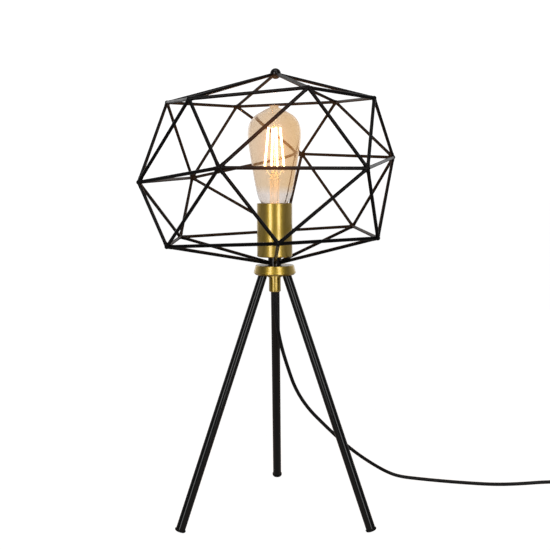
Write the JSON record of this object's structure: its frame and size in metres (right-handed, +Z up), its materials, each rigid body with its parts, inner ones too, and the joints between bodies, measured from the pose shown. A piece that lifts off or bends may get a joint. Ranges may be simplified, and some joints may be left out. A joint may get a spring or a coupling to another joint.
{
  "type": "table lamp",
  "caption": "Tripod table lamp with an open geodesic cage of welded black wire round a bare amber screw bulb, a brass hub and lampholder cup, and a mains cord with an inline switch.",
  "frame": {"origin": "on the surface that the lamp stands on, straight under the hub's axis", "axes": "+Z up along the hub's axis, +X to the right and +Y to the rear as seen from the pictured side, where the rear leg points within a degree of +Y"},
  "size_m": [0.6801, 0.318, 0.5361],
  "materials": {
    "black_paint": "satin",
    "brass": "polished",
    "steel": "zinc plated",
    "foot_rubber": "matte",
    "cap_metal": "satin",
    "amber_glass": "clear, amber tint",
    "clear_glass": "clear",
    "filament": "lit phosphor",
    "support_wire": "drawn",
    "black_insulator": "gloss",
    "circuit_board": "matte",
    "contact_brass": "satin",
    "holder_resin": "matte",
    "core_insulation": "matte",
    "grip_rubber": "matte",
    "switch_plastic": "fine grain",
    "rocker_plastic": "gloss",
    "cord_jacket": "satin",
    "tie_plastic": "matte",
    "plug_plastic": "fine grain",
    "pin_metal": "nickel plated"
  },
  "bodies": {
    "lamp": {"apex_ball": "black_paint", "cage_bottom_spokes": "black_paint", "cage_lower_lattice_left": "black_paint", "cage_lower_lattice_right": "black_paint", "cage_lower_ring": "black_paint", "cage_lower_welds": "black_paint", "cage_middle_ring": "black_paint", "cage_middle_welds": "black_paint", "cage_top_spokes": "black_paint", "cage_upper_lattice_left": "black_paint", "cage_upper_lattice_right": "black_paint", "cage_upper_ring": "black_paint", "cage_upper_welds": "black_paint", "cord_coil": "cord_jacket", "cord_grip": "grip_rubber", "cord_lead": "cord_jacket", "cord_link": "cord_jacket", "cord_outlet": "brass", "cord_tie": "tie_plastic", "cup": "brass", "cup_nut": "steel", "foot_left": "foot_rubber", "foot_rear": "foot_rubber", "foot_right": "foot_rubber", "holder_base": "holder_resin", "holder_body": "holder_resin", "holder_centre_contact": "contact_brass", "holder_screw_shell": "cap_metal", "holder_terminal_screws": "steel", "hub": "brass", "inner_conductors": "core_insulation", "leg_left": "black_paint", "leg_rear": "black_paint", "leg_right": "black_paint", "leg_studs": "steel", "lower_washer": "brass", "nipple": "steel", "plug_body": "plug_plastic", "plug_pins": "pin_metal", "plug_relief": "plug_plastic", "spider_ring": "black_paint", "switch_base": "switch_plastic", "switch_cord_clamps": "switch_plastic", "switch_cover": "switch_plastic", "switch_screws": "steel", "switch_terminals": "contact_brass", "toothed_washer": "steel"},
    "bulb": {"bulb_cap": "cap_metal", "bulb_driver_board": "circuit_board", "bulb_filaments": "filament", "bulb_glass": "amber_glass", "bulb_insulator": "black_insulator", "bulb_stem": "clear_glass", "bulb_support_wires": "support_wire", "bulb_tip_contact": "contact_brass"},
    "rocker": {"switch_rocker": "rocker_plastic"}
  },
  "joints": [
    {"name": "bulb_screw", "type": "hinge", "parent": "lamp", "child": "bulb", "pos_m": [0, 0, 0.358], "axis": [0, 0, 1], "range_deg": [0, 1080]},
    {"name": "rocker_switch", "type": "hinge", "parent": "lamp", "child": "rocker", "pos_m": [0.396, 0.077, 0.0124], "axis": [0, 1, 0], "range_deg": [0, 14]}
  ]
}
